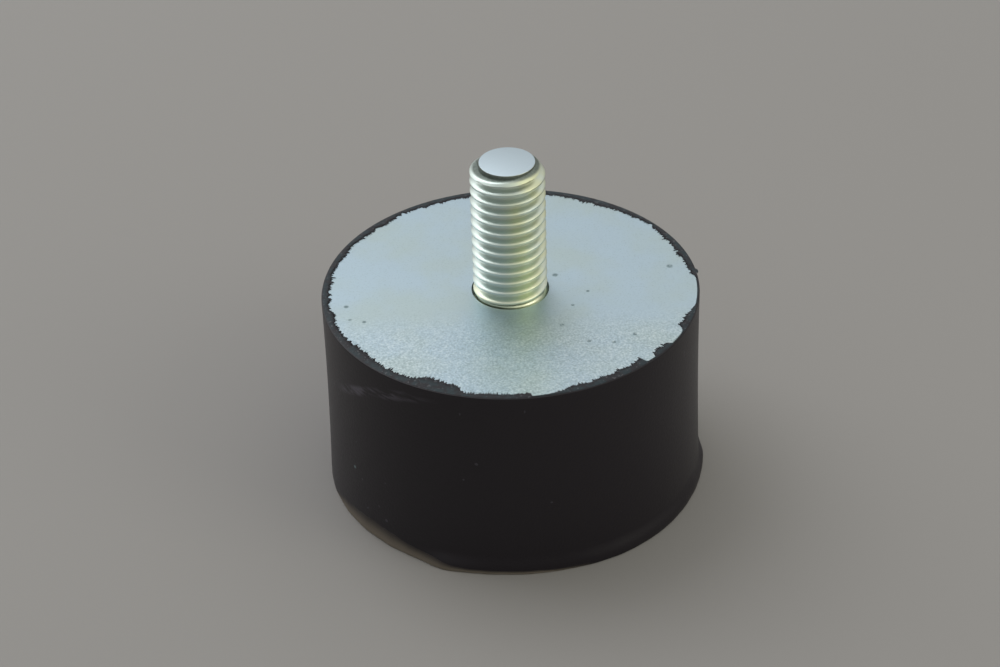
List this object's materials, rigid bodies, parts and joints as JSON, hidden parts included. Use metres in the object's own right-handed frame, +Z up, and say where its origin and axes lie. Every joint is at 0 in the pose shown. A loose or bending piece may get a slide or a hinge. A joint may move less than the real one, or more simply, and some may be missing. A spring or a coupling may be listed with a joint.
{
  "type": "bobbin vibration mount",
  "caption": "Cylindrical rubber vibration mount bonded between steel end plates, with a threaded stud on top and a tapped insert in its foot.",
  "frame": {"origin": "centre of the foot, on the surface that the mount stands on", "axes": "+Z up along the stud, +X and +Y across the round body"},
  "size_m": [0.0514, 0.0514, 0.0474],
  "materials": {
    "zinc_plated_steel": "bright zinc plating, satin on the plate and shiny on the thread",
    "black_rubber": "moulded black rubber, dull, with a thin torn flash at its rims"
  },
  "bodies": {
    "root": {"top_plate": "zinc_plated_steel", "top_stud": "zinc_plated_steel", "bottom_plate": "zinc_plated_steel", "bottom_insert": "zinc_plated_steel", "rubber_body": "black_rubber"}
  },
  "joints": []
}
